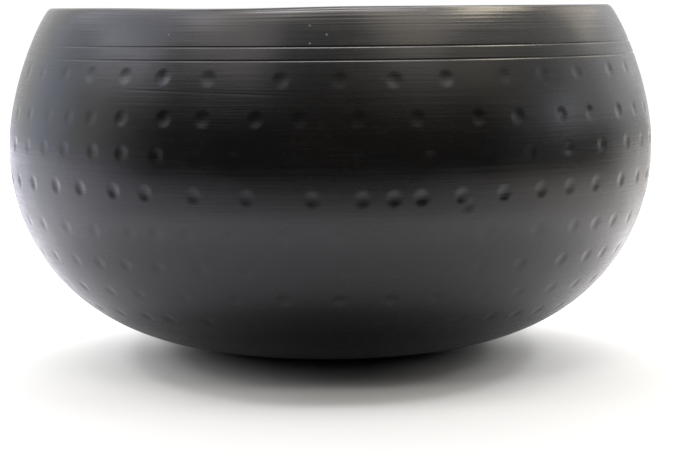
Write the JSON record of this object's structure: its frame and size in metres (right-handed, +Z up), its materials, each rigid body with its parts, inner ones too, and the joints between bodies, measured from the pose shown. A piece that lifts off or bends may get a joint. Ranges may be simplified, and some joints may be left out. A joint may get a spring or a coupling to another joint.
{
  "type": "hammered singing bowl",
  "caption": "Round-bellied bowl with an in-drawn mouth, turned lines under a flat lip and rows of hammered dents, standing on a small flat foot.",
  "frame": {"origin": "centre of the flat foot, on the surface that the bowl stands on", "axes": "+Z up out of the mouth along the bowl's axis, -Y towards the viewer of the picture, +X to the viewer's right"},
  "size_m": [0.15, 0.15, 0.0793],
  "materials": {
    "blackened_bronze": "satin black patina"
  },
  "bodies": {
    "root": {"bowl": "blackened_bronze"}
  },
  "joints": []
}
